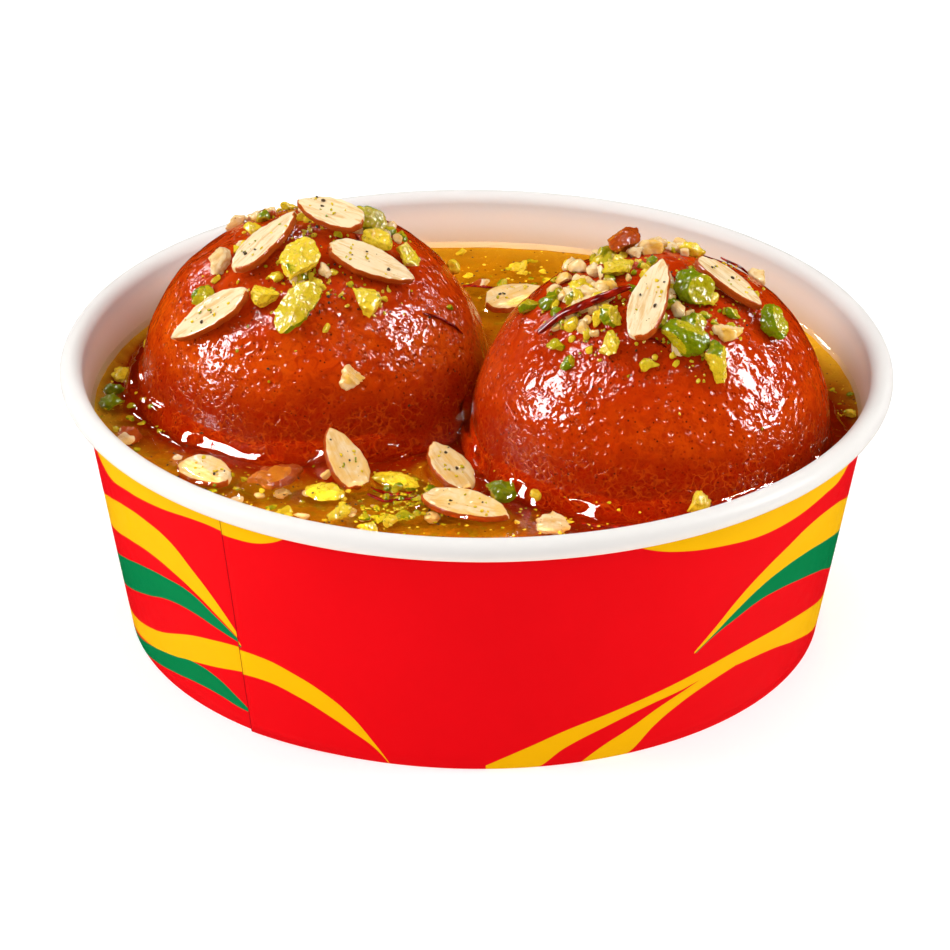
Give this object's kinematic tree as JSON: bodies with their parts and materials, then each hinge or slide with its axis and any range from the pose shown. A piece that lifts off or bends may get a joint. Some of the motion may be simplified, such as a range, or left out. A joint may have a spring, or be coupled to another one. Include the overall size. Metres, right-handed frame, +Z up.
{
  "type": "gulab jamun dessert in a paper tub",
  "caption": "Fried milk-solid balls soaked in sugar syrup, topped with sliced almonds and pistachio pieces, in a shallow round printed paper tub with a rolled rim.",
  "frame": {"origin": "centre of the ring that the tub stands on, at the table's surface", "axes": "+Z up along the tub's axis; the front, with the seam at its left, faces -Y; +X to the right"},
  "size_m": [0.116, 0.116, 0.0609],
  "materials": {
    "printed_board": "gloss",
    "plain_board": "satin",
    "syrup": "gloss",
    "jamun": "gloss",
    "almond": "satin",
    "almond_skin": "satin",
    "pistachio": "satin",
    "saffron": "satin"
  },
  "bodies": {
    "root": {"tub_wall": "printed_board", "tub_floor": "plain_board", "syrup": "syrup", "jamun_left": "jamun", "jamun_right": "jamun", "almond_slice_1": "almond", "almond_slice_2": "almond", "almond_slice_3": "almond", "almond_slice_4": "almond", "almond_slice_5": "almond", "almond_slice_6": "almond", "almond_slice_7": "almond", "almond_slice_8": "almond", "almond_slice_9": "almond", "almond_slice_10": "almond", "almond_slice_11": "almond", "almond_half_1": "almond_skin", "almond_half_2": "almond_skin", "pistachio_1": "pistachio", "pistachio_2": "pistachio", "pistachio_3": "pistachio", "pistachio_4": "pistachio", "pistachio_5": "pistachio", "pistachio_6": "pistachio", "pistachio_7": "pistachio", "pistachio_8": "pistachio", "pistachio_9": "pistachio", "pistachio_10": "pistachio", "pistachio_11": "pistachio", "pistachio_12": "pistachio", "pistachio_13": "pistachio", "pistachio_14": "pistachio", "pistachio_15": "pistachio", "pistachio_16": "pistachio", "pistachio_17": "pistachio"}
  },
  "joints": []
}
